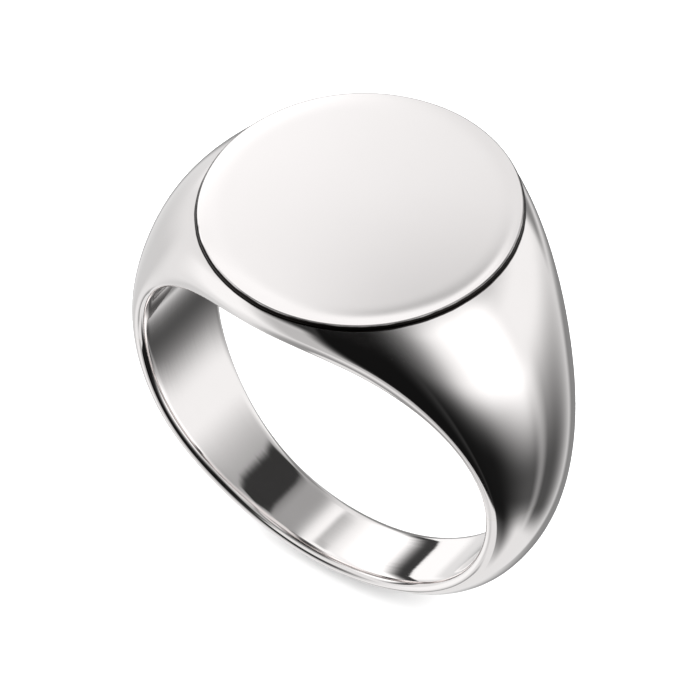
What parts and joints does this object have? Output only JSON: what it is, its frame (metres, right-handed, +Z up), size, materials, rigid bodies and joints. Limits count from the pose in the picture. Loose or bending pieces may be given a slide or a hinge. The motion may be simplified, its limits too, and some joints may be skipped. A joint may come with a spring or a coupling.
{
  "type": "signet ring",
  "caption": "Plain polished silver signet ring with a flat oval face, flared shoulders and a tapering rounded band.",
  "frame": {"origin": "centre of the finger hole, half way along it", "axes": "+Y along the finger, +X across the finger, +Z up through the middle of the oval face, at right angles to it"},
  "size_m": [0.0224, 0.016, 0.0226],
  "materials": {
    "face_silver": "mirror-polished sterling silver",
    "band_silver": "mirror-polished sterling silver",
    "silver_solder": "polished hard silver solder, slightly greyer and yellower than the silver"
  },
  "bodies": {
    "root": {"face_plate": "face_silver", "face_solder": "silver_solder", "head_and_shoulders": "band_silver", "left_shoulder_solder": "silver_solder", "right_shoulder_solder": "silver_solder", "shank": "band_silver"}
  },
  "joints": []
}
